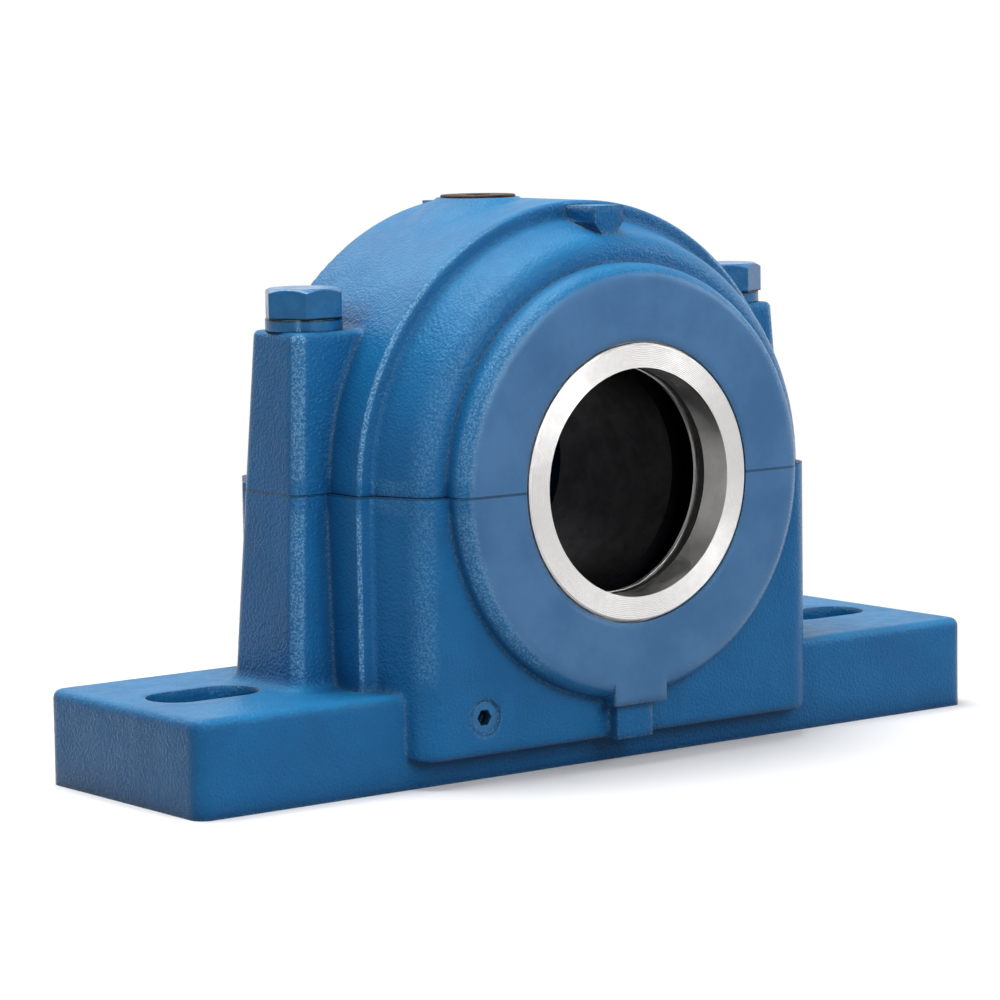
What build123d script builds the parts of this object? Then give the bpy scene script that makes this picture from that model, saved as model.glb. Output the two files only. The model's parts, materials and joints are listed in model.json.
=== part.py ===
from build123d import *
import math
import os

# Split plummer block for a 3 inch shaft: a two-bolt cast-iron housing, split through the
# bore axis, with a spherical roller bearing on an adapter sleeve and two labyrinth rings.
# Millimetres. X runs along the foot, Y along the shaft, Z up. The origin is the middle of
# the foot's underside, and the bore axis lies centre_height above it.

# ---- shaft and bearing -------------------------------------------------------------
shaft_d = 76.2
bearing_d = 150.0
bearing_bore_d = 85.0           # at the small end, which faces the lock nut
bearing_width = 36.0
bore_taper = 12.0               # the bore and the sleeve widen 1 mm in this many, on diameter
sphere_r = 67.0                 # outer raceway, a sphere about the bearing's centre
roller_r = 8.5
roller_length = 12.5
roller_angle = 9.5              # degrees, between a roller's contact line and the radial plane
roller_crown_r = 65.5           # barrel profile
race_crown_r = 66.5             # inner raceway profile, a little hollower than the roller's
rollers_per_row = 16
roller_gap = 0.09               # play between a roller and each raceway
pocket_gap = 0.25               # play between a roller and its cage pocket
ring_chamfer = 1.6
roller_corner_r = 0.7
cage_thickness = 3.0
cage_offset = 0.5               # the cage band starts this far outside the roller's axis
cage_lip = 1.0                  # cage rim beyond the pockets
guide_gap = 0.12
lube_groove_width = 6.0
lube_groove_depth = 1.5
lube_hole_d = 3.5
lube_holes = 3

# ---- adapter sleeve, lock nut and lock washer --------------------------------------
sleeve_overhang = 3.6           # of the thick end, past the bearing
sleeve_slit = 3.0
sleeve_gap = 0.02               # between the sleeve's taper and the bearing's bore
key_tab_gap = 0.15              # play of the lock washer's inner tab in the slit
nut_d = 110.0
nut_width = 16.0
nut_slot_width = 8.0
nut_slot_depth = 3.5
nut_slots = 4
nut_chamfer = 1.5
washer_thickness = 1.8
washer_rim_d = 104.0
washer_tab_length = 8.0
washer_tab_width = 6.5
washer_tabs = 17
washer_bend = 7.0               # how far the bent tab lies along the nut's slot
thread_end = 4.0                # sleeve thread that stands out past the nut

# ---- labyrinth rings ---------------------------------------------------------------
seal_ring_d = 92.4
seal_ring_proud = 0.6           # the ring's face stands this far out of the hub
seal_wall = 17.0                # thickness of the housing's end wall at the bore
seal_gap = 0.7
fin_d = 108.0
fin_width = 2.2
fin_pitch = 5.0
fin_count = 3
fin_gap = 0.5                   # play on each side of a fin
fin_tip_gap = 1.5
seal_ring_chamfer = 0.6
o_ring_d = 3.4                  # cross-section
o_ring_bore_gap = 0.03
o_ring_groove_width = 4.4
o_ring_inset = 3.4              # of its middle, from the ring's inner end

# ---- foot --------------------------------------------------------------------------
foot_length = 330.2
foot_width = 90.0
foot_height = 31.75
foot_corner_r = 5.0
foot_edge_r = 3.0
slot_inset = 31.5               # of the slots' middles, from the foot's ends
slot_width = 22.0
slot_length = 40.0

# ---- housing body ------------------------------------------------------------------
centre_height = 95.25
rim_r = 92.7
rim_half = 32.4
shoulder_inset = 5.5            # of the shoulder beside the rim, from the rim's outline
shoulder_end_inset = 12.2       # the shoulder narrows to this at the end wall
shoulder_edge_r = 9.0
cast_edge_r = 1.5
hub_r = 72.6
hub_half = 62.0
hub_proud = 9.5                 # the hub's face, beyond the end wall
hub_edge_r = 6.2
base_step = 1.5                 # the base stands this far outside the cap at the joint
plinth_height = 9.3             # the end walls stop this far above the ground
wall_lip_r = 2.0
crown_rib_width = 12.0
crown_rib_reach = 15.6          # from the rim towards the hub
crown_rib_tip = 1.6             # width of its lower end
crown_rib_drop = 8.0            # its sides draw in this far below the shoulder
keel_rib_width = 15.0
keel_rib_recess = 3.3           # behind the hub's face
keel_tab_width = 22.0
keel_tab_drop = 1.5             # below the hub

# ---- housing bore ------------------------------------------------------------------
seat_gap = 0.03
seat_play = 0.4
seat_shoulder = 3.0
locating_ring_width = 12.5
locating_ring_wall = 8.0
locating_ring_opening = 40.0    # degrees
sump_floor = 17.0
sump_corner_r = 10.0
oil_way_width = 16.0

# ---- bolt pillars, cap bolts and dowels --------------------------------------------
bolt_clearance = 7.5            # between a bolt and the bearing beside it
bolt_d = 16.0
bolt_hole_d = 17.5
bolt_length = 95.0
bolt_head_af = 24.0
bolt_head_height = 10.0
bolt_end_chamfer = 1.5
bolt_head_slope = 30.0          # degrees, of the cone that turns off the head's corners
bolt_head_turns = (0.0, 30.0)   # degrees, where each head came to rest
bolt_face_inset = 0.6           # the head's top circle lies this far inside its flats
tapped_hole_spare = 6.0
thread_gap = 0.03
pillar_wall = 12.5              # from the bolt's axis to the outer face, at the top
pillar_half = 14.0              # half depth at the top
pillar_draft_x = 3.4            # degrees
pillar_draft_y = 2.4
pillar_corner_r = 4.5
pillar_edge_r = 2.0
pillar_foot_r = 4.0
spring_washer_d = 25.5
spring_washer_thickness = 3.9
spring_washer_gap = 2.2
spring_washer_slant = 35.0      # degrees, of the gap
spring_washer_room = 1.25       # between a washer and the rim beside it
dowel_d = 6.0
dowel_length = 20.0
dowel_inset = 10.4              # from the rim's end face
dowel_gap = 0.02
dowel_chamfer = 0.8

# ---- plugs -------------------------------------------------------------------------
grease_boss_d = 28.0
grease_boss_rise = 0.75         # above the rim's crown
grease_boss_slope = 35.0        # degrees, of the flank that runs out into the rim
grease_boss_x = -13.3
grease_plug_d = 18.0
grease_plug_length = 9.0
grease_collar_d = 25.6
grease_collar_height = 0.9
collar_chamfer = 0.3
grease_socket_af = 8.0
grease_way_d = 6.0
drain_inset = 13.0              # of the drain's axis, from the side of the end chamber
drain_rise = 5.0                # above the sump's floor
drain_plug_d = 10.4
drain_plug_length = 6.5
drain_socket_af = 5.0
drain_counterbore = 1.0
drain_recess = 0.8              # the plug's face lies this far behind the wall
socket_depth = 4.5

# ---- worked out from the sizes above -----------------------------------------------
shaft_r = shaft_d / 2
bearing_r = bearing_d / 2
seat_r = bearing_r + seat_gap
seat_half = (bearing_width + locating_ring_width + seat_play) / 2
bearing_y = locating_ring_width / 2
chamber_r = seat_r - seat_shoulder
chamber_half = hub_half - seal_wall
seal_bore_r = seal_ring_d / 2 + seal_gap
roller_centre = sphere_r - roller_r - roller_gap
tilt = math.radians(roller_angle)
roller_pitch_r = roller_centre * math.cos(tilt)
roller_offset = roller_centre * math.sin(tilt)
race_contact = roller_centre - roller_r - roller_gap
thread_r = bearing_bore_d / 2 - sleeve_gap
nut_face = bearing_y - bearing_width / 2 - washer_thickness
shoulder_r = rim_r - shoulder_inset
shoulder_end_r = rim_r - shoulder_end_inset
wall_half = hub_half - hub_proud
wall_front = wall_half + base_step
bolt_x = bearing_r + bolt_d / 2 + bolt_clearance
washer_inner_x = bolt_x - spring_washer_d / 2
pillar_top = centre_height + math.sqrt((rim_r + spring_washer_room) ** 2 - washer_inner_x ** 2)
pillar_reach = bolt_x + pillar_wall
washer_under_head = pillar_top + spring_washer_thickness
grease_boss_top = centre_height + rim_r + grease_boss_rise
drain_x = drain_inset - chamber_r
drain_z = sump_floor + drain_rise


def disc(radius, y_from, y_to):
    """A cylinder on the bore axis, from one Y to another."""
    return Pos(0, (y_from + y_to) / 2, centre_height) * Rot(90, 0, 0) * Cylinder(radius, y_to - y_from)


def turned(outline, y_centre=0.0):
    """A solid of revolution on the bore axis: the outline's X is the radius, its Y runs along the shaft."""
    return Pos(0, y_centre, centre_height) * revolve(outline, Axis.Y)


def group(solids):
    """Separate solids that make one node."""
    return Compound(children=list(solids))


def upper_half():
    return Pos(0, 0, centre_height + foot_length / 2) * Box(2 * foot_length, foot_length, foot_length)


def lower_half():
    return Pos(0, 0, centre_height - foot_length / 2) * Box(2 * foot_length, foot_length, foot_length)


# ---- castings ----------------------------------------------------------------------
def body_outline(outset):
    """Half the body's plan: a narrow rim, stepping in to a shoulder that narrows to each end wall."""
    back = [
        (0, wall_half + outset),
        (shoulder_end_r + outset, wall_half + outset),
        (shoulder_r + outset, rim_half + outset),
        (rim_r + outset, rim_half + outset),
    ]
    front = [(x, -y) for x, y in reversed(back)]
    plan = make_face(Polyline(*back, *front, close=True))
    ends = [v for v in plan.vertices() if v.X > 0 and abs(v.Y) > (rim_half + wall_half) / 2]
    plan = fillet(ends, shoulder_edge_r)
    steps = [v for v in plan.vertices() if abs(abs(v.Y) - rim_half - outset) < 1e-3]
    return fillet(steps, cast_edge_r)


def hub():
    """The round hub at both ends, its edges well rounded."""
    barrel = disc(hub_r, -hub_half, hub_half)
    return fillet(barrel.edges().filter_by(GeomType.CIRCLE), hub_edge_r)


def pillar_section(z):
    """A pillar's rounded rectangle at one height; its inner side is buried in the body."""
    drop = pillar_top - z
    outer = pillar_reach + drop * math.tan(math.radians(pillar_draft_x))
    half = pillar_half + drop * math.tan(math.radians(pillar_draft_y))
    inner = chamber_r
    outline = RectangleRounded(outer - inner, 2 * half, pillar_corner_r)
    return Pos((outer + inner) / 2, 0, z) * outline


def pillar():
    column = loft([pillar_section(foot_height / 2), pillar_section(pillar_top)])
    top = column.faces().sort_by(Axis.Z)[-1]
    return fillet(top.edges(), pillar_edge_r)


def both_sides(solid):
    """A solid and its mirror image across the middle of the foot."""
    return solid + mirror(solid, Plane.YZ)


def slot_cutter():
    profile = Pos(foot_length / 2 - slot_inset, 0) * SlotOverall(slot_length, slot_width)
    return both_sides(extrude(profile, foot_height))


def foot():
    """The slotted foot with the two pillars on it, and a fillet round the root of each."""
    slab = extrude(RectangleRounded(foot_length, foot_width, foot_corner_r), foot_height)
    top = slab.faces().sort_by(Axis.Z)[-1]
    solid = fillet(top.edges(), foot_edge_r) + both_sides(pillar())
    top = [face for face in solid.faces().filter_by(Plane.XY) if abs(face.center().Z - foot_height) < 1e-3]
    roots = [edge for wire in top[0].inner_wires() for edge in wire.edges()]
    return fillet(roots, pillar_foot_r) - slot_cutter()


def seal_grooves(side):
    """The bore and the fin grooves of one end wall; side is -1 in front and 1 behind."""
    inner = chamber_half - 1
    outer = hub_half + 1
    cut = disc(seal_bore_r, min(side * inner, side * outer), max(side * inner, side * outer))
    width = fin_width + 2 * fin_gap
    for y in fin_places():
        cut += disc(fin_d / 2 + fin_tip_gap, side * y - width / 2, side * y + width / 2)
    return cut


def fin_places():
    """Distance of each fin from the housing's middle."""
    middle = (chamber_half + hub_half) / 2
    first = middle - fin_pitch * (fin_count - 1) / 2
    return [first + fin_pitch * i for i in range(fin_count)]


def bore_cutter():
    """Everything that is bored on the shaft's axis: seat, end chambers and seal grooves."""
    cut = disc(seat_r, -seat_half, seat_half) + disc(chamber_r, -chamber_half, chamber_half)
    for side in (-1, 1):
        cut += seal_grooves(side)
    return cut


def sump_cutter():
    """The end chambers go straight down to an oil sump; a way under the seat joins them."""
    depth = centre_height - sump_floor
    outline = RectangleRounded(2 * chamber_r, 2 * depth, sump_corner_r)
    well = Pos(0, chamber_half, centre_height) * extrude(Plane.XZ * outline, 2 * chamber_half)
    seat = Pos(0, 0, centre_height) * Box(2 * foot_length, 2 * seat_half, 2 * depth + 1)
    way = Pos(0, 0, sump_floor + seat_shoulder) * Box(oil_way_width, 2 * chamber_half, 2 * seat_shoulder)
    return (well - seat) + way


def bolt_axes():
    return [Pos(-bolt_x, 0, 0), Pos(bolt_x, 0, 0)]


def rod(diameter, z_from, z_to):
    return Pos(0, 0, (z_from + z_to) / 2) * Cylinder(diameter / 2, z_to - z_from)


def block(along_x, along_y, z_from, z_to):
    return Pos(0, 0, (z_from + z_to) / 2) * Box(along_x, along_y, z_to - z_from)


def dowel_places():
    """In opposite corners of the joint face, midway between the bearing's seat and the rim."""
    x = (seat_r + rim_r) / 2
    y = rim_half - dowel_inset
    return [(x, y), (-x, -y)]


def dowel_cutter():
    half = dowel_length / 2 + dowel_gap
    hole = rod(dowel_d + 2 * dowel_gap, centre_height - half, centre_height + half)
    return group(Pos(x, y, 0) * hole for x, y in dowel_places())


def crown_rib():
    """The wedge-shaped rib at the top of each end, from the rim down into the shoulder."""
    top = centre_height + rim_r - cast_edge_r
    waist = centre_height + shoulder_r - cast_edge_r
    half = crown_rib_width / 2
    tip = crown_rib_tip / 2
    foot_z = centre_height + shoulder_r - crown_rib_drop
    front = Polyline((-half, top), (half, top), (half, waist), (tip, foot_z), (-tip, foot_z), (-half, waist),
                     close=True)
    return extrude(Plane.XZ * make_face(front), rim_half + crown_rib_reach, both=True)


def keel_rib():
    """The rib under each hub, and the tab that it carries flush with the hub's face."""
    tab_foot = centre_height - hub_r - keel_tab_drop
    rib = block(keel_rib_width, 2 * (hub_half - keel_rib_recess), plinth_height, centre_height)
    return rib + block(keel_tab_width, 2 * hub_half, tab_foot, centre_height)


def grease_boss():
    """A low round pad on the cap's crown; its flank runs out into the rim."""
    height = rim_r - hub_r
    foot_r = grease_boss_d / 2 + height / math.tan(math.radians(grease_boss_slope))
    cone = Cone(foot_r, grease_boss_d / 2, height)
    return Pos(grease_boss_x, bearing_y, grease_boss_top - height / 2) * cone


def cap_casting():
    body = turned(body_outline(0)) + hub() + crown_rib() + both_sides(pillar()) + grease_boss()
    body = (body & upper_half()) - bore_cutter() - dowel_cutter()
    for place in bolt_axes():
        body -= place * rod(bolt_hole_d, centre_height, pillar_top + 1)
    tapped_foot = grease_boss_top - grease_plug_length - 1
    tapped = rod(grease_plug_d + 2 * thread_gap, tapped_foot, grease_boss_top + 1)
    way = rod(grease_way_d, centre_height, grease_boss_top)
    return body - Pos(grease_boss_x, bearing_y, 0) * (tapped + way)


def base_casting():
    plan = body_outline(base_step)
    plan += mirror(plan, Plane.YZ)
    walls = Pos(0, 0, plinth_height) * extrude(plan, centre_height - plinth_height)
    under = walls.faces().sort_by(Axis.Z)[0]
    walls = fillet(under.edges(), wall_lip_r)
    body = walls + foot() + hub() + keel_rib()
    body = (body & lower_half()) - bore_cutter() - sump_cutter() - dowel_cutter() - drain_hole()
    bottom = washer_under_head - bolt_length - tapped_hole_spare
    for place in bolt_axes():
        body -= place * rod(bolt_d + 2 * thread_gap, bottom, centre_height)
    return body


# ---- fasteners and plugs -----------------------------------------------------------
def hexagon(across_flats, z_from, z_to):
    outline = RegularPolygon(across_flats / 2, 6, major_radius=False)
    return Pos(0, 0, z_from) * extrude(outline, z_to - z_from)


def cap_bolt():
    """A hexagon-head bolt; its head's corners are turned off to a cone."""
    top = washer_under_head + bolt_head_height
    slope = math.tan(math.radians(bolt_head_slope))
    cone_r = bolt_head_af / 2 - bolt_face_inset
    depth = bolt_head_af
    cone = Pos(0, 0, top - depth / 2) * Cone(cone_r + depth / slope, cone_r, depth)
    head = hexagon(bolt_head_af, washer_under_head, top) & cone
    shank = rod(bolt_d, washer_under_head - bolt_length, washer_under_head)
    end = shank.edges().filter_by(GeomType.CIRCLE).sort_by(Axis.Z)[0]
    return head + chamfer(end, bolt_end_chamfer)


def cap_bolts():
    """Both bolts, each head as it came to rest."""
    bolt = cap_bolt()
    return [place * Rot(0, 0, turn) * bolt for place, turn in zip(bolt_axes(), bolt_head_turns)]


def spring_washer():
    """A split washer, its gap cut on the slant and turned to the back."""
    ring = rod(spring_washer_d, pillar_top, washer_under_head)
    ring -= rod(bolt_hole_d, pillar_top, washer_under_head)
    reach = spring_washer_d
    gap = Pos(0, reach / 2, pillar_top + spring_washer_thickness / 2) * Rot(0, spring_washer_slant, 0)
    return ring - gap * Box(spring_washer_gap, reach, 3 * spring_washer_thickness)


def dowel_pins():
    pin = rod(dowel_d, centre_height - dowel_length / 2, centre_height + dowel_length / 2)
    pin = chamfer(pin.edges().filter_by(GeomType.CIRCLE), dowel_chamfer)
    return [Pos(x, y, 0) * pin for x, y in dowel_places()]


def grease_plug():
    """A collared screw plug on the cap's boss, over the bearing's grease groove."""
    collar_top = grease_boss_top + grease_collar_height
    collar = rod(grease_collar_d, grease_boss_top, collar_top)
    rim = collar.edges().filter_by(GeomType.CIRCLE).sort_by(Axis.Z)[-1]
    plug = chamfer(rim, collar_chamfer) + rod(grease_plug_d, grease_boss_top - grease_plug_length, collar_top)
    plug -= hexagon(grease_socket_af, collar_top - socket_depth, collar_top + 1)
    return Pos(grease_boss_x, bearing_y, 0) * plug


def drain_bar(diameter, y_from, y_to):
    """A cylinder along Y on the drain's axis."""
    bar = Rot(90, 0, 0) * Cylinder(diameter / 2, y_to - y_from)
    return Pos(drain_x, (y_from + y_to) / 2, drain_z) * bar


def drain_hole():
    """Tapped for the plug, counterbored at the face, and open to the sump behind."""
    front = -wall_front
    plug_end = front + drain_recess + drain_plug_length
    cut = drain_bar(drain_plug_d + 2 * thread_gap, front - 1, plug_end)
    cut += drain_bar(drain_plug_d + 2 * drain_counterbore, front - 1, front + drain_recess)
    return cut + drain_bar(drain_plug_d - 2 * drain_counterbore, front, -seat_half - 1)


def drain_plug():
    front = drain_recess - wall_front
    socket = extrude(RegularPolygon(drain_socket_af / 2, 6, major_radius=False), socket_depth)
    plug = drain_bar(drain_plug_d, front, front + drain_plug_length)
    return plug - Pos(drain_x, front + socket_depth, drain_z) * Rot(90, 0, 0) * socket


# ---- bearing -----------------------------------------------------------------------
def row_point(along, out, side=1):
    """(radius, Y) of a point given along a roller's axis and outwards from it."""
    radius = roller_pitch_r - along * math.sin(tilt) + out * math.cos(tilt)
    y = roller_offset + along * math.cos(tilt) + out * math.sin(tilt)
    return radius, side * y


def bore_radius(y):
    """Radius of the bearing's tapered bore, Y measured from its middle."""
    return (bearing_bore_d + (y + bearing_width / 2) / bore_taper) / 2


def outer_ring():
    half = bearing_width / 2
    lip = math.sqrt(sphere_r ** 2 - half ** 2)
    sides = Polyline((lip, -half), (bearing_r, -half), (bearing_r, half), (lip, half))
    outline = make_face(sides + ThreePointArc((lip, half), (sphere_r, 0), (lip, -half)))
    outline = chamfer([v for v in outline.vertices() if v.X > bearing_r - 1e-3], ring_chamfer)
    ring = turned(outline, bearing_y)
    groove_floor = bearing_r - lube_groove_depth
    groove = disc(bearing_r + 1, bearing_y - lube_groove_width / 2, bearing_y + lube_groove_width / 2)
    ring -= groove - disc(groove_floor, bearing_y - lube_groove_width, bearing_y + lube_groove_width)
    for i in range(lube_holes):
        hole = Rot(0, 360 * i / lube_holes, 0) * Pos(0, 0, bearing_r) * Cylinder(lube_hole_d / 2, bearing_r)
        ring -= Pos(0, bearing_y, centre_height) * hole
    return ring


def race_point(along, side):
    """A point of the inner raceway, given along the roller's axis."""
    middle = race_contact + race_crown_r - roller_centre
    return row_point(along, middle - math.sqrt(race_crown_r ** 2 - along ** 2), side)


def inner_ring():
    """Two hollow raceways with a plain land between them, on a tapered bore."""
    half = bearing_width / 2
    reach = roller_length / 2 + pocket_gap
    back = [race_point(a, 1) for a in (-reach, 0, reach)]
    front = [race_point(a, -1) for a in (reach, 0, -reach)]
    rim = back[2][0]
    outline = make_face(
        Polyline(back[2], (rim, half), (bore_radius(half), half), (bore_radius(-half), -half),
                 (rim, -half), front[0])
        + ThreePointArc(*front)
        + Line(front[2], back[0])
        + ThreePointArc(*back)
    )
    corners = [v for v in outline.vertices() if abs(v.Y) > half - 1e-3]
    return turned(chamfer(corners, ring_chamfer / 2), bearing_y)


def barrel():
    """One roller about its own axis, which is Y here."""
    half = roller_length / 2
    end_r = roller_r - roller_crown_r + math.sqrt(roller_crown_r ** 2 - half ** 2)
    outline = make_face(
        Polyline((end_r, half), (0, half), (0, -half), (end_r, -half))
        + ThreePointArc((end_r, -half), (roller_r, 0), (end_r, half))
    )
    corners = [v for v in outline.vertices() if v.X > end_r - 1e-3]
    return revolve(fillet(corners, roller_corner_r), Axis.Y)


def in_row(solid, side, index):
    """A solid about the Y axis, carried to one roller's place; the back row is staggered."""
    step = 360 / rollers_per_row
    turn = step * (index + (0.5 if side > 0 else 0))
    seat = Pos(roller_pitch_r, side * roller_offset, 0) * Rot(0, 0, side * roller_angle)
    return Pos(0, bearing_y, centre_height) * Rot(0, turn, 0) * seat * solid


def cage(side):
    """A cone-shaped band with one pocket for each roller."""
    reach = roller_length / 2 + pocket_gap + cage_lip
    outer = cage_offset + cage_thickness
    places = [(-reach, cage_offset), (reach, cage_offset), (reach, outer), (-reach, outer)]
    band = make_face(Polyline(*[row_point(a, o, side) for a, o in places], close=True))
    ring = turned(band, bearing_y)
    pocket = Rot(90, 0, 0) * Cylinder(roller_r + pocket_gap, roller_length + 2 * pocket_gap)
    for i in range(rollers_per_row):
        ring -= in_row(pocket, side, i)
    return ring


def guide_ring():
    """The loose ring between the rows; it runs on the inner ring and the cages run on it."""
    along = -roller_length / 2 - guide_gap
    inner_r = race_point(-roller_length / 2 - pocket_gap, 1)[0] + guide_gap
    outer_r = row_point(-roller_length / 2 - pocket_gap, cage_offset)[0] - guide_gap
    outs = [(r - roller_pitch_r + along * math.sin(tilt)) / math.cos(tilt) for r in (inner_r, outer_r)]
    corners = [row_point(along, outs[0], 1), row_point(along, outs[1], 1),
               row_point(along, outs[1], -1), row_point(along, outs[0], -1)]
    return turned(make_face(Polyline(*corners, close=True)), bearing_y)


# ---- sleeve, nut, washer and rings -------------------------------------------------
def slit_box(width, r_from, r_to, y_from, y_to):
    """A block over the shaft's centre line, between two radii."""
    block = Box(width, y_to - y_from, r_to - r_from)
    return Pos(0, (y_from + y_to) / 2, centre_height + (r_from + r_to) / 2) * block


def adapter_sleeve():
    """Straight bore, tapered outside under the bearing, threaded end under the nut, slit through."""
    half = bearing_width / 2
    thick_end = half + sleeve_overhang
    thin_end = nut_face - nut_width - thread_end - bearing_y
    outline = make_face(
        Polyline(
            (shaft_r, thin_end),
            (thread_r, thin_end),
            (thread_r, -half),
            (bore_radius(thick_end) - sleeve_gap, thick_end),
            (shaft_r, thick_end),
            close=True,
        )
    )
    sleeve = turned(outline, bearing_y)
    slit = slit_box(sleeve_slit, shaft_r - 1, bearing_r, bearing_y + thin_end - 1, bearing_y + thick_end + 1)
    return sleeve - slit


def lock_washer():
    """A flat washer with a key tab in the sleeve's slit and one outer tab bent into the nut."""
    back = nut_face + washer_thickness
    rim_r = washer_rim_d / 2
    plate = disc(rim_r, nut_face, back) - disc(thread_r + thread_gap, nut_face, back)
    plate += slit_box(sleeve_slit - 2 * key_tab_gap, shaft_r + 1, thread_r + 1, nut_face, back)
    tab = slit_box(washer_tab_width, rim_r - 1, rim_r + washer_tab_length, nut_face, back)
    for i in range(1, washer_tabs):
        plate += turn_about_shaft(tab, 360 * i / washer_tabs)
    slot_floor = nut_d / 2 - nut_slot_depth
    bent = slit_box(washer_tab_width, slot_floor, slot_floor + washer_thickness, nut_face - washer_bend, back)
    return plate + bent


def turn_about_shaft(solid, degrees):
    return Pos(0, 0, centre_height) * Rot(0, degrees, 0) * Pos(0, 0, -centre_height) * solid


def lock_nut():
    front = nut_face - nut_width
    nut = disc(nut_d / 2, front, nut_face)
    nut = chamfer(nut.edges().filter_by(GeomType.CIRCLE), nut_chamfer)
    nut -= disc(thread_r + thread_gap, front, nut_face)
    slot = slit_box(nut_slot_width, nut_d / 2 - nut_slot_depth, nut_d, front - 1, nut_face + 1)
    for i in range(nut_slots):
        nut -= turn_about_shaft(slot, 360 * i / nut_slots)
    return nut


def locating_ring():
    """An open ring beside the bearing that holds it along the shaft."""
    front = bearing_y - bearing_width / 2 - locating_ring_width
    ring = disc(bearing_r, front, front + locating_ring_width)
    ring -= disc(bearing_r - locating_ring_wall, front, front + locating_ring_width)
    half = math.radians(locating_ring_opening / 2)
    reach = 2 * bearing_r
    wedge = Polyline((0, 0), (reach * math.sin(half), -reach * math.cos(half)),
                     (-reach * math.sin(half), -reach * math.cos(half)), close=True)
    cut = extrude(Plane.XZ * make_face(wedge), bearing_r, both=True)
    return ring - Pos(0, 0, centre_height) * cut


def o_ring_place(side):
    return side * (chamber_half + o_ring_inset)


def labyrinth_ring(side):
    """A turned ring that clamps on the shaft by its O-ring; its fins run in the housing's grooves."""
    inner = side * chamber_half
    outer = side * (hub_half + seal_ring_proud)
    ring = disc(seal_ring_d / 2, min(inner, outer), max(inner, outer))
    ring = chamfer(ring.edges().filter_by(GeomType.CIRCLE), seal_ring_chamfer)
    for y in fin_places():
        ring += disc(fin_d / 2, side * y - fin_width / 2, side * y + fin_width / 2)
    ring -= disc(shaft_r, -hub_half - 2, hub_half + 2)
    middle = o_ring_place(side)
    groove_r = shaft_r + o_ring_bore_gap + o_ring_d
    return ring - disc(groove_r, middle - o_ring_groove_width / 2, middle + o_ring_groove_width / 2)


def o_ring(side):
    circle = Pos(shaft_r + o_ring_bore_gap + o_ring_d / 2, 0) * Circle(o_ring_d / 2)
    return turned(circle, o_ring_place(side))


# ---- the whole block ---------------------------------------------------------------
def all_pieces():
    pieces = {
        "base_casting": base_casting(),
        "cap_casting": cap_casting(),
        "cap_bolts": group(cap_bolts()),
        "spring_washers": group(place * spring_washer() for place in bolt_axes()),
        "dowel_pins": group(dowel_pins()),
        "grease_plug": grease_plug(),
        "drain_plug": drain_plug(),
        "locating_ring": locating_ring(),
        "outer_ring": outer_ring(),
        "inner_ring": inner_ring(),
        "guide_ring": guide_ring(),
        "adapter_sleeve": adapter_sleeve(),
        "lock_nut": lock_nut(),
        "lock_washer": lock_washer(),
    }
    roller = barrel()
    for name, side in (("front", -1), ("back", 1)):
        pieces["cage_" + name] = cage(side)
        pieces["labyrinth_ring_" + name] = labyrinth_ring(side)
        pieces["o_ring_" + name] = o_ring(side)
        for i in range(rollers_per_row):
            pieces[f"roller_{name}_{i + 1:02d}"] = in_row(roller, side, i)
    return pieces


os.makedirs("parts", exist_ok=True)
for piece_name, piece in all_pieces().items():
    export_step(piece, os.path.join("parts", piece_name + ".step"))
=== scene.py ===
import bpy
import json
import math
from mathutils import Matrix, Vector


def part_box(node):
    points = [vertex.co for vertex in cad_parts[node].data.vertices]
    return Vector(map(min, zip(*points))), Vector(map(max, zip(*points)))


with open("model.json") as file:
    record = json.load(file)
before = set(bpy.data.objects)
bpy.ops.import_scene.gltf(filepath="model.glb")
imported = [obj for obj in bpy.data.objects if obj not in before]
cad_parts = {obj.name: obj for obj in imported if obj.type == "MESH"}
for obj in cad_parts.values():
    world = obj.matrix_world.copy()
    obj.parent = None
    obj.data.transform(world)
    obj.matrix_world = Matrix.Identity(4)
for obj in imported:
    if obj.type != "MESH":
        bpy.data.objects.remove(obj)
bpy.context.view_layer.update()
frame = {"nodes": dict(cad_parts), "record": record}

# %% [markdown]
# # A split plummer block, dressed for its portrait
#
# A plummer block carries a turning shaft in a cast-iron housing. This one is painted a steel blue,
# its cap is held by two bolts, and a bright turned ring closes each end of the shaft's bore. Inside
# sit the roller bearing, its tapered sleeve and the nut that pulls the two together.
#
# Every solid is already the right size and in the right place, because the script began by loading
# the measured model. What is left is the finish of each surface, the light and the camera.

# %% [markdown]
# ## Places on the block
#
# A finish often changes from one place to another: the hub's face was cut on a lathe before it was
# painted, while the walls kept the sand's grain. Such places are read from the model, so the finish
# still falls right if a size changes.

# %% Reading the places
ring_low, ring_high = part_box("labyrinth_ring_front")
joint_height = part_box("cap_casting")[0].z
hub_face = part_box("base_casting")[1].y
washer_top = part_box("spring_washers")[1].z
bore_height = (ring_low.z + ring_high.z) / 2
print("the cap meets the base at", round(joint_height, 4), "m")
print("the hub's face is at", round(hub_face, 4), "m and the bore's axis at", round(bore_height, 4), "m")

# %% [markdown]
# ## Small helpers for finishes
#
# A finish is a graph of nodes: a texture makes a pattern, a ramp or a sum shapes it, and the result
# drives a colour, a roughness or a bump. The same three or four moves come back in every finish, so
# each gets a short helper. All patterns use the object's own coordinates, in metres, so they stay
# on the metal when it turns, and one pattern runs on from the base to the cap.

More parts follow.
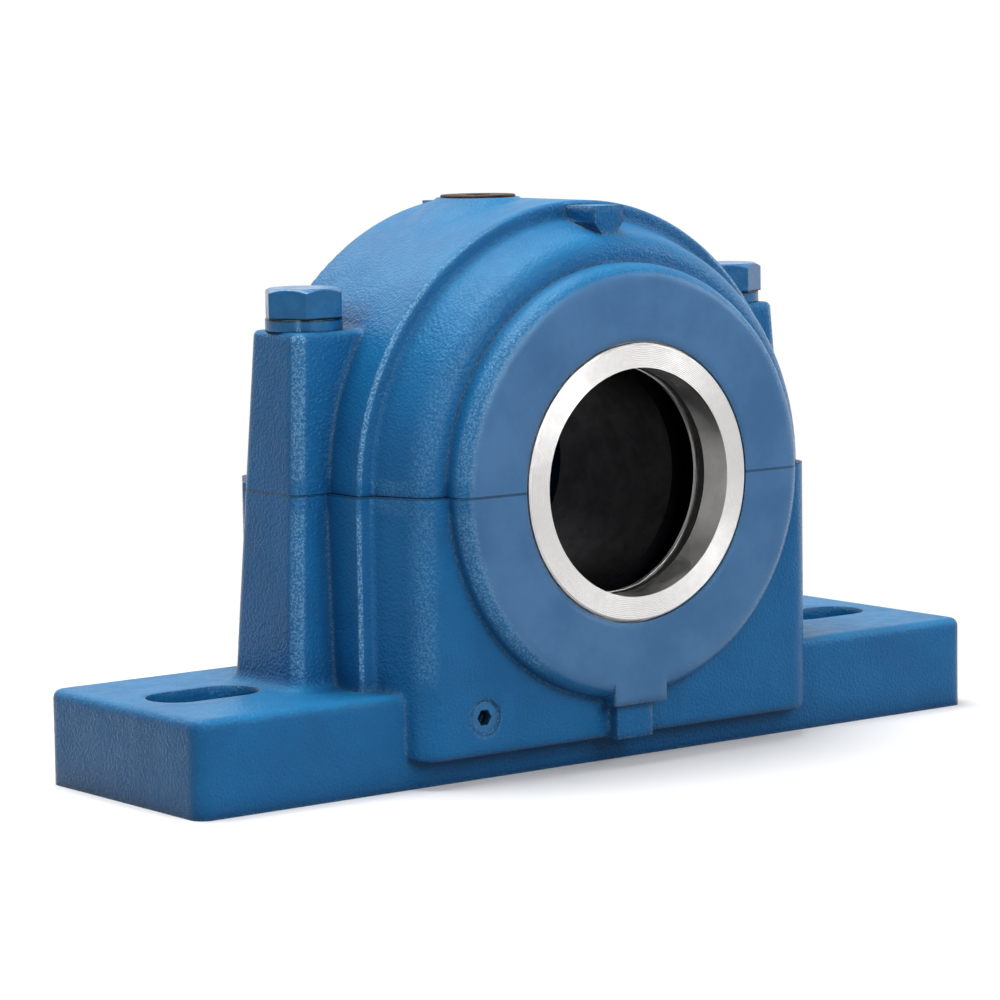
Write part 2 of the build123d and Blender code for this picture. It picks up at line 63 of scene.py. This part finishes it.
# %% A finish to start from
def new_finish(name, colour, roughness, metallic=0.0):
    """A material with its shader set, ready for patterns."""
    finish = bpy.data.materials.new(name)
    finish.use_nodes = True
    shader = finish.node_tree.nodes["Principled BSDF"]
    shader.inputs["Base Color"].default_value = (*colour, 1)
    shader.inputs["Roughness"].default_value = roughness
    shader.inputs["Metallic"].default_value = metallic
    print("finish:", name)
    return finish


def shader_of(finish):
    return finish.node_tree.nodes["Principled BSDF"]


def add(finish, kind, **settings):
    """A node of one kind; settings name its properties."""
    node = finish.node_tree.nodes.new(kind)
    for key, value in settings.items():
        setattr(node, key, value)
    return node


def join(finish, out_socket, in_socket):
    finish.node_tree.links.new(out_socket, in_socket)


# %% Patterns in the metal's own coordinates
def place_socket(finish):
    """The point on the surface, in metres, in the block's own frame."""
    return add(finish, "ShaderNodeTexCoord").outputs["Object"]


def parts_of(finish, vector):
    """The X, Y and Z of a vector, each an output of its own."""
    split = add(finish, "ShaderNodeSeparateXYZ")
    join(finish, vector, split.inputs[0])
    return split.outputs


def true_direction(finish):
    """The way the measured surface faces, with no bump on it."""
    return add(finish, "ShaderNodeNewGeometry").outputs["Normal"]


def noise(finish, per_metre, detail=3.0, roughness=0.5):
    """Cloudy noise with so many features to the metre."""
    texture = add(finish, "ShaderNodeTexNoise")
    texture.inputs["Scale"].default_value = per_metre
    texture.inputs["Detail"].default_value = detail
    texture.inputs["Roughness"].default_value = roughness
    join(finish, place_socket(finish), texture.inputs["Vector"])
    return texture.outputs["Fac"]


def remap(finish, value, low, high, new_low=0.0, new_high=1.0):
    """Stretches low..high to new_low..new_high and holds the ends, with a soft step between."""
    node = add(finish, "ShaderNodeMapRange", interpolation_type="SMOOTHSTEP")
    join(finish, value, node.inputs["Value"])
    for name, number in (("From Min", low), ("From Max", high), ("To Min", new_low), ("To Max", new_high)):
        node.inputs[name].default_value = number
    return node.outputs["Result"]


def calculate(finish, operation, *values):
    """One sum: each value is a number or another node's output."""
    node = add(finish, "ShaderNodeMath", operation=operation)
    for socket, value in zip(node.inputs, values):
        if isinstance(value, (int, float)):
            socket.default_value = value
        else:
            join(finish, value, socket)
    return node.outputs[0]


def times(finish, first, second):
    return calculate(finish, "MULTIPLY", first, second)


def the_rest(finish, share):
    """What is left of 1 when a share is taken away."""
    return calculate(finish, "SUBTRACT", 1.0, share)


# %% Blends and bumps
def blend_colour(finish, share, first, second):
    """Two colours, each fixed or from a node, mixed by a share from 0 to 1."""
    node = add(finish, "ShaderNodeMix", data_type="RGBA")
    join(finish, share, node.inputs["Factor"])
    for socket, value in ((node.inputs[6], first), (node.inputs[7], second)):
        if isinstance(value, tuple):
            socket.default_value = (*value, 1)
        else:
            join(finish, value, socket)
    return node.outputs[2]


def bump(finish, height, distance, strength=1.0, under=None):
    """Raises the surface by a pattern; distance is the height of its full swing, in metres."""
    node = add(finish, "ShaderNodeBump")
    node.inputs["Distance"].default_value = distance
    join(finish, height, node.inputs["Height"])
    if isinstance(strength, (int, float)):
        node.inputs["Strength"].default_value = strength
    else:
        join(finish, strength, node.inputs["Strength"])
    if under is not None:
        join(finish, under, node.inputs["Normal"])
    return node.outputs["Normal"]


def blend_normal(finish, share, first, second):
    """One surface direction fading into another by a share from 0 to 1."""
    node = add(finish, "ShaderNodeMix", data_type="VECTOR")
    join(finish, share, node.inputs[0])
    join(finish, first, node.inputs[4])
    join(finish, second, node.inputs[5])
    return node.outputs[1]


# %% Where a finish changes
def across(finish, axis):
    """How far a point lies from the middle plane of one axis, in metres."""
    return calculate(finish, "ABSOLUTE", parts_of(finish, place_socket(finish))[axis])


def above(finish, low, high):
    """0 below one height and rising to 1 at another, in metres over the ground."""
    return remap(finish, parts_of(finish, place_socket(finish))["Z"], low, high)


def dark_seam(finish, height, half_width):
    """1 in a thin level band at one height and 0 elsewhere, for the shadow line of a joint."""
    rise = calculate(finish, "SUBTRACT", parts_of(finish, place_socket(finish))["Z"], height)
    return remap(finish, calculate(finish, "ABSOLUTE", rise), half_width, half_width * 2, 1.0, 0.0)


def facing_up(finish):
    """0 on walls and overhangs, rising to 1 on level tops, where dust settles and where the tops get a
    painted sheen.
    """
    return remap(finish, parts_of(finish, true_direction(finish))["Z"], 0.2, 0.8)


def upright_rounding(finish):
    """1 on a rounding between an end face and a front or back face, and 0 on the faces themselves."""
    facing = parts_of(finish, true_direction(finish))
    both = times(finish, facing["X"], facing["Y"])
    return remap(finish, calculate(finish, "ABSOLUTE", both), 0.10, 0.36)


def hollows(finish, reach):
    """1 in the open and lower in corners and under things; the mask for painted shade."""
    node = add(finish, "ShaderNodeAmbientOcclusion", samples=8)
    node.inputs["Distance"].default_value = reach
    return node.outputs["AO"]


def soft_edges(finish, radius):
    """The surface's direction with every sharp edge and corner rounded over, as thick paint does."""
    node = add(finish, "ShaderNodeBevel", samples=6)
    node.inputs["Radius"].default_value = radius
    return node.outputs["Normal"]


def edge_wear_and_glint(finish, radius):
    """0 on a flat and rising on a sharp edge, from how far a softened normal leans away."""
    lean = add(finish, "ShaderNodeVectorMath", operation="DOT_PRODUCT")
    join(finish, soft_edges(finish, radius), lean.inputs[0])
    join(finish, true_direction(finish), lean.inputs[1])
    return remap(finish, lean.outputs["Value"], 0.995, 0.88)


def outer_edges(finish, reach):
    """0 on flats and rising to 1 on outward edges and roundings, from how thin the metal is behind."""
    node = add(finish, "ShaderNodeAmbientOcclusion", samples=8, inside=True, only_local=True)
    node.inputs["Distance"].default_value = reach
    return remap(finish, node.outputs["AO"], 0.98, 0.84)


# %% [markdown]
# ## Blue enamel over cast iron
#
# The two castings came out of sand moulds, so their walls have a fine grain like orange peel, and
# the thick gloss enamel on top rounds it off but still sparkles. Two ways could make that grain:
# displacing the mesh, which would need millions of faces and would move the walls, or a bump, which
# only leans the light. We take the bump, at two sizes: the sand's grain of about a millimetre, and a
# slow waviness left by the mould. The hub's faces were turned flat, so there the grain fades away.
#
# Thick paint also rounds every corner. A Bevel node does that for the light alone and leaves the
# measured mesh as it is; near the joint, which stays crisp, its radius shrinks.
#
# The colour has six layers, laid over each other in this order: a paler colour on the faced hub that is
# a painted reflection of its smoother coat, paler tops that are a painted sheen of the overhead light,
# slow clouds in the coat, painted shade darkening the corners, pale flecks on the upright roundings and
# the sharp edges that are painted highlights in the look of rubbed paint, and the fine dark line where the
# cap meets the base.

# %% The enamel
enamel_blue = (0.008, 0.102, 0.266)
enamel_deep = (0.005, 0.050, 0.150)
# The next three colours are painted light: a reflection on the faced hub, a highlight on roundings and
# edges, and a sheen on the level tops.
enamel_faced_sheen = (0.062, 0.150, 0.300)
enamel_glint = (0.220, 0.420, 0.610)
enamel_top_sheen = (0.020, 0.205, 0.370)
enamel_seam = (0.003, 0.012, 0.030)
blue_sheen = (0.45, 0.80, 1.0)

enamel_ior = 1.27               # low, so that the walls keep their colour beside a white room
faced_from = hub_face - 0.0012  # the grain starts to fade here and is gone at faced_to
faced_to = hub_face - 0.0004
joint_band = 0.0035             # half the height of the crisp band along the joint
paint_radius = 0.0042           # how far the paint rounds an edge, and how far at the joint
joint_radius = 0.0006
wave_height = 0.0005
grain_height = 0.00013
seam_half = 0.0003
flecks_from = joint_height * 0.33  # flecks start above the foot and are full at flecks_to
flecks_to = joint_height * 0.42


def cast_enamel(name):
    """Gloss enamel; the sand's grain shows through except where the casting was faced."""
    finish = new_finish(name, enamel_blue, 0.22)
    shader = shader_of(finish)
    shader.inputs["IOR"].default_value = enamel_ior
    shader.inputs["Specular Tint"].default_value = (*blue_sheen, 1)
    faced = remap(finish, across(finish, "Y"), faced_from, faced_to)
    near_joint = dark_seam(finish, joint_height, joint_band)

    grain_depth = the_rest(finish, times(finish, faced, 0.85))
    wide, narrow = soft_edges(finish, paint_radius), soft_edges(finish, joint_radius)
    rounded = blend_normal(finish, near_joint, wide, narrow)
    waves = bump(finish, noise(finish, 60, 1), wave_height, grain_depth, under=rounded)
    grains = remap(finish, noise(finish, 980, 2, 0.5), 0.30, 0.72)
    join(finish, bump(finish, grains, grain_height, grain_depth, under=waves), shader.inputs["Normal"])

    level = facing_up(finish)
    cloud = remap(finish, noise(finish, 38, 5, 0.6), 0.35, 0.68)
    # Painted shade: corners and recesses are darkened towards the deep blue by ambient occlusion.
    corner_shade = remap(finish, hollows(finish, 0.016), 0.92, 0.35, 0.0, 0.85)
    # Painted reflection: the faced hub gets a paler, greyer colour for the sheen that its smoother coat
    # reflects.
    colour = blend_colour(finish, faced, enamel_blue, enamel_faced_sheen)
    # Painted highlight: level tops are made paler and greener for the sheen of the overhead light.
    colour = blend_colour(finish, times(finish, level, 0.32), colour, enamel_top_sheen)
    colour = blend_colour(finish, times(finish, cloud, 0.3), colour, enamel_deep)
    colour = blend_colour(finish, corner_shade, colour, enamel_deep)

    # Painted highlight: pale flecks on the upright roundings and the sharp edges stand for glints of
    # light, in the look of rubbed paint.
    flecks = remap(finish, noise(finish, 1400, 2, 0.55), 0.43, 0.62, 0.10, 0.68)
    outer = times(finish, outer_edges(finish, 0.006), upright_rounding(finish))
    outer = times(finish, outer, above(finish, flecks_from, flecks_to))
    sharp = times(finish, edge_wear_and_glint(finish, 0.0022), 0.4)
    off_joint = the_rest(finish, times(finish, near_joint, 0.8))
    edges = times(finish, calculate(finish, "MAXIMUM", sharp, outer), off_joint)
    colour = blend_colour(finish, times(finish, edges, flecks), colour, enamel_glint)
    seam = times(finish, dark_seam(finish, joint_height, seam_half), 0.6)
    join(finish, blend_colour(finish, seam, colour, enamel_seam), shader.inputs["Base Color"])

    gloss = remap(finish, noise(finish, 210, 3), 0.3, 0.7, 0.09, 0.17)
    dusty = times(finish, level, 0.28)
    join(finish, calculate(finish, "ADD", gloss, dusty), shader.inputs["Roughness"])
    return finish


housing_enamel = cast_enamel("housing_enamel")

# %% [markdown]
# ## Painted bolts and drain plug
#
# The cap bolts went on before the block was sprayed, so they wear the same blue, but on smooth
# rolled steel: no sand grain, a thinner and darker coat, and paler metal just at the corners where a
# wrench has been. The hollows under the heads and the plug's socket are darkened with painted shade,
# and the slit between a bolt's head and its spring washer carries a painted shadow line.

# %% The sprayed fasteners
coat_dark = (0.010, 0.085, 0.215)
coat_light = (0.016, 0.110, 0.270)
worn_steel = (0.20, 0.30, 0.42)
# The next two colours are painted shade: one for the slit under a bolt's head, one for the hollows.
slit_shadow = (0.002, 0.004, 0.010)
hollow_shade = (0.001, 0.006, 0.018)
slit_half = 0.0004


def sprayed_steel(name):
    """A thin smooth coat of the same blue, worn at the corners, with painted shade in the hollows and the
    slit.
    """
    finish = new_finish(name, enamel_deep, 0.25)
    shader = shader_of(finish)
    shader.inputs["Specular IOR Level"].default_value = 0.45
    shader.inputs["Specular Tint"].default_value = (*blue_sheen, 1)
    cloud = remap(finish, noise(finish, 160, 3), 0.3, 0.7)
    rubbed = remap(finish, noise(finish, 900, 3), 0.42, 0.6)
    wear = times(finish, edge_wear_and_glint(finish, 0.0005), rubbed)
    # Painted shade: hollows under the heads and in the plug's socket are darkened to near black by ambient
    # occlusion.
    corner_shade = remap(finish, hollows(finish, 0.005), 0.9, 0.35, 0.0, 0.9)
    colour = blend_colour(finish, cloud, coat_dark, coat_light)
    colour = blend_colour(finish, times(finish, wear, 0.4), colour, worn_steel)
    # Painted shadow: a dark line in the slit between a bolt's head and its spring washer.
    colour = blend_colour(finish, dark_seam(finish, washer_top, slit_half), colour, slit_shadow)
    join(finish, blend_colour(finish, corner_shade, colour, hollow_shade), shader.inputs["Base Color"])
    grain = bump(finish, noise(finish, 700, 2), 0.00012, under=soft_edges(finish, 0.0007))
    join(finish, grain, shader.inputs["Normal"])
    join(finish, remap(finish, cloud, 0, 1, 0.2, 0.32), shader.inputs["Roughness"])
    return finish


painted_fasteners = sprayed_steel("painted_fasteners")

# %% [markdown]
# ## The turned ring
#
# The ring round the shaft is the one bright surface. It was turned on a lathe, so its face carries
# fine grooves that run in circles round the bore, and they draw the light out into soft rays. The
# grooves are waves in the distance from the bore's axis; a little noise keeps them from being
# perfect. The same finish serves every other turned steel part, with its own colour and groove size.

# %% Turned steel
dulled = 0.70                   # a stained patch keeps this much of the steel's brightness


def turned_steel(name, colour, roughness, groove, depth=0.00004, glancing=1.0):
    """Bare steel cut on a lathe about the shaft's axis; glancing is its shine at a low angle."""
    finish = new_finish(name, colour, roughness, metallic=1.0)
    shader = shader_of(finish)
    shader.inputs["Specular Tint"].default_value = (glancing, glancing, glancing, 1)
    point = parts_of(finish, place_socket(finish))
    flat = add(finish, "ShaderNodeCombineXYZ")
    join(finish, point["X"], flat.inputs["X"])
    join(finish, calculate(finish, "SUBTRACT", point["Z"], bore_height), flat.inputs["Y"])
    from_axis = add(finish, "ShaderNodeVectorMath", operation="LENGTH")
    join(finish, flat.outputs[0], from_axis.inputs[0])
    path = calculate(finish, "ADD", from_axis.outputs["Value"], point["Y"])
    wander = times(finish, noise(finish, 90, 3), groove * 2)
    phase = times(finish, calculate(finish, "ADD", path, wander), 2 * math.pi / groove)
    join(finish, bump(finish, calculate(finish, "SINE", phase), depth, 0.6), shader.inputs["Normal"])
    cloud = remap(finish, noise(finish, 120, 4, 0.65), 0.3, 0.75)
    dull = tuple(c * dulled for c in colour)
    patches = blend_colour(finish, times(finish, cloud, 0.5), colour, dull)
    join(finish, patches, shader.inputs["Base Color"])
    uneven = remap(finish, cloud, 0, 1, roughness - 0.05, roughness + 0.1)
    join(finish, uneven, shader.inputs["Roughness"])
    return finish


turned_ring = turned_steel("turned_ring", (0.60, 0.59, 0.58), 0.34, groove=0.0006, depth=0.00006)
bearing_steel = turned_steel("bearing_steel", (0.56, 0.56, 0.57), 0.22, groove=0.0002, depth=0.00001)
roller_steel = turned_steel("roller_steel", (0.66, 0.66, 0.67), 0.12, groove=0.00015, depth=0.000004)
turned_iron = turned_steel("turned_iron", (0.42, 0.41, 0.40), 0.45, groove=0.0005)
# Blackened steel, made near black also as painted shade for the unlit depth of the bore.
dark_steel = turned_steel("dark_steel", (0.006, 0.006, 0.008), 0.4, groove=0.0004, glancing=0.7)
cage_steel = turned_steel("cage_steel", (0.30, 0.28, 0.25), 0.42, groove=0.0006)
washer_steel = turned_steel("washer_steel", (0.38, 0.38, 0.39), 0.36, groove=0.0007)

# %% [markdown]
# ## Blackened plug and rubber
#
# The grease plug is blackened steel that has browned a little with age, and the O-rings are soft
# black rubber. Both are dark and dull, so their own shine is set low, and what tells them apart is
# their roughness and the colour in the patches.

# %% The plug and the rubber
def dark_skin(name, colour, second_colour, roughness):
    """A dull dark surface with patches of a second colour."""
    finish = new_finish(name, colour, roughness)
    shader = shader_of(finish)
    shader.inputs["Specular IOR Level"].default_value = 0.1
    patches = remap(finish, noise(finish, 260, 5, 0.65), 0.4, 0.62)
    join(finish, blend_colour(finish, patches, colour, second_colour), shader.inputs["Base Color"])
    join(finish, bump(finish, noise(finish, 1400, 3), 0.0001), shader.inputs["Normal"])
    join(finish, remap(finish, patches, 0, 1, roughness, roughness + 0.15), shader.inputs["Roughness"])
    return finish


black_plug = dark_skin("black_plug", (0.010, 0.008, 0.007), (0.045, 0.022, 0.012), 0.42)
seal_rubber = dark_skin("seal_rubber", (0.012, 0.012, 0.012), (0.022, 0.021, 0.020), 0.55)

# %% [markdown]
# ## Giving each piece its finish
#
# The record of the part says which finish slot each piece belongs to, so one loop can dress them
# all, and a piece that is added later is dressed too.

# %% Dressing the pieces
finishes = {
    "housing_enamel": housing_enamel,
    "painted_fasteners": painted_fasteners,
    "bearing_steel": bearing_steel,
    "roller_steel": roller_steel,
    "black_plug": black_plug,
    "turned_iron": turned_iron,
    "dark_steel": dark_steel,
    "washer_steel": washer_steel,
    "turned_ring": turned_ring,
    "seal_rubber": seal_rubber,
    "cage_steel": cage_steel,
}
for entry in frame["record"]["subparts"]:
    piece = frame["nodes"][entry["node"]]
    piece.data.materials.clear()
    piece.data.materials.append(finishes[entry["material_slot"]])
print("dressed", len(frame["nodes"]), "pieces in", len(finishes), "finishes")

# %% [markdown]
# ## Floor and light
#
# The block stands on a white sweep under soft lamps. Near the block the floor is a real matt
# surface, so that it takes the shadow; further off it fades to plain white, so that no horizon
# shows. The fade is measured on the floor, from the block outwards. Steel and enamel mirror the same
# white, but the light that the floor throws back on the block comes from a greyer floor, because a
# white one would fill the shadows under the hub and wash out the deep blue.

# %% The floor
floor_seen = (0.75, 0.75, 0.75)
floor_lit = (0.30, 0.30, 0.30)  # for the light that it throws back
fade_from = 0.22                # metres from the block's middle
fade_to = 0.42


def white_to_the_eye(nodes, links):
    """1 for rays that look or reflect, and 0 for rays that carry light."""
    ray = nodes.new("ShaderNodeLightPath")
    seen = ray.outputs["Is Camera Ray"]
    for name in ("Is Glossy Ray", "Is Transmission Ray"):
        either = nodes.new("ShaderNodeMath")
        either.operation = "MAXIMUM"
        links.new(seen, either.inputs[0])
        links.new(ray.outputs[name], either.inputs[1])
        seen = either.outputs[0]
    return seen


def white_floor():
    """Matt near the block, and plain white to the eye further off."""
    finish = new_finish("studio_floor", floor_seen, 0.9)
    tree = finish.node_tree
    shader = shader_of(finish)
    seen = white_to_the_eye(tree.nodes, tree.links)
    join(finish, blend_colour(finish, seen, floor_lit, floor_seen), shader.inputs["Base Color"])
    white = add(finish, "ShaderNodeEmission")
    white.inputs["Strength"].default_value = 1.0
    distance = add(finish, "ShaderNodeVectorMath", operation="LENGTH")
    join(finish, place_socket(finish), distance.inputs[0])
    fade = remap(finish, distance.outputs["Value"], fade_from, fade_to)
    mix = add(finish, "ShaderNodeMixShader")
    join(finish, times(finish, fade, seen), mix.inputs[0])
    join(finish, shader.outputs[0], mix.inputs[1])
    join(finish, white.outputs[0], mix.inputs[2])
    join(finish, mix.outputs[0], tree.nodes["Material Output"].inputs["Surface"])
    return finish


bpy.ops.mesh.primitive_plane_add(size=12, location=(0, 0, 0))
floor = bpy.context.object
floor.name = "floor"
floor.data.materials.append(white_floor())
print("floor laid")

# %% [markdown]
# The room itself is a pale grey that lights the block from all round. Seen directly it is white.

# %% The room
room_light = 0.14
room = bpy.data.worlds.new("room")
bpy.context.scene.world = room
room.use_nodes = True
room_nodes = room.node_tree.nodes
room_links = room.node_tree.links
soft = room_nodes["Background"]
soft.inputs["Color"].default_value = (0.93, 0.96, 1.0, 1)
soft.inputs["Strength"].default_value = room_light
plain = room_nodes.new("ShaderNodeBackground")
plain.inputs["Strength"].default_value = 1.0
plain.inputs["Color"].default_value = (1, 1, 1, 1)
room_mix = room_nodes.new("ShaderNodeMixShader")
room_links.new(white_to_the_eye(room_nodes, room_links), room_mix.inputs[0])
room_links.new(soft.outputs[0], room_mix.inputs[1])
room_links.new(plain.outputs[0], room_mix.inputs[2])
room_links.new(room_mix.outputs[0], room_nodes["World Output"].inputs["Surface"])
print("room light", room_light)

# %% [markdown]
# ## The lamps
#
# Five flat lamps make one soft light that comes mostly from above. The big one overhead gives the
# tops their pale sheen, and the back one draws it along the crown of the cap. The front and right
# ones are weak, so that the walls keep their deep blue, and the narrow upright one on the left is
# there for its reflection, a faint thread down each upright rounding that the grain breaks up.

# %% Hanging the lamps
def softbox(name, place, aim, width, height, power):
    """A flat lamp at a place, turned towards a point; it lights but isn't itself in the picture."""
    lamp = bpy.data.lights.new(name, "AREA")
    lamp.shape = "RECTANGLE"
    lamp.size = width
    lamp.size_y = height
    lamp.energy = power
    holder = bpy.data.objects.new(name, lamp)
    bpy.context.scene.collection.objects.link(holder)
    holder.location = place
    holder.rotation_euler = (Vector(aim) - Vector(place)).to_track_quat("-Z", "Y").to_euler()
    holder.visible_camera = False
    print(name, power, "W")


middle = Vector((0, 0, bore_height))
softbox("overhead_lamp", (-0.15, 0.2, 1.3), middle, 0.9, 0.9, 24)
softbox("front_lamp", (0.05, -1.3, 0.7), middle, 0.7, 0.7, 12)
softbox("right_lamp", (1.2, -0.6, 0.8), middle, 0.7, 0.7, 6)
softbox("window_lamp", (-0.62, -0.42, 0.3), (0, 0, 0.3), 0.06, 0.6, 1.2)
softbox("back_lamp", (-0.05, 1.2, 1.15), middle, 0.8, 0.8, 5.2)

# %% [markdown]
# ## The camera
#
# The camera stands in front and to the left, a little above the block, a long way off with a long
# lens, so the far end of the foot is hardly smaller than the near one. It leans by a degree, as a
# hand-held camera does. The view is set as three directions: where the camera looks, its right hand
# and its up.

# %% The camera
turn = math.radians(37.4)
dip = math.radians(6.5)
lean = math.radians(-0.9)
camera_distance = 1.3542
look_at = Vector((-0.0106, 0, 0.0852))
sensor = 36.0
focal_in_widths = 3.956         # the lens's focal length, in widths of the sensor

ahead = Vector((math.sin(turn) * math.cos(dip), math.cos(turn) * math.cos(dip), -math.sin(dip)))
right = Vector((math.cos(turn), -math.sin(turn), 0))
up = right.cross(ahead)
leaned_right = right * math.cos(lean) + up * math.sin(lean)
leaned_up = up * math.cos(lean) - right * math.sin(lean)

lens = bpy.data.cameras.new("portrait_camera")
lens.sensor_width = sensor
lens.lens = focal_in_widths * sensor
camera = bpy.data.objects.new("portrait_camera", lens)
bpy.context.scene.collection.objects.link(camera)
turned_view = Matrix((leaned_right, leaned_up, -ahead)).transposed()
camera.matrix_world = Matrix.Translation(look_at - ahead * camera_distance) @ turned_view.to_4x4()
bpy.context.scene.camera = camera
bpy.context.scene.view_settings.view_transform = "Standard"
print("camera at", [round(c, 3) for c in camera.location])
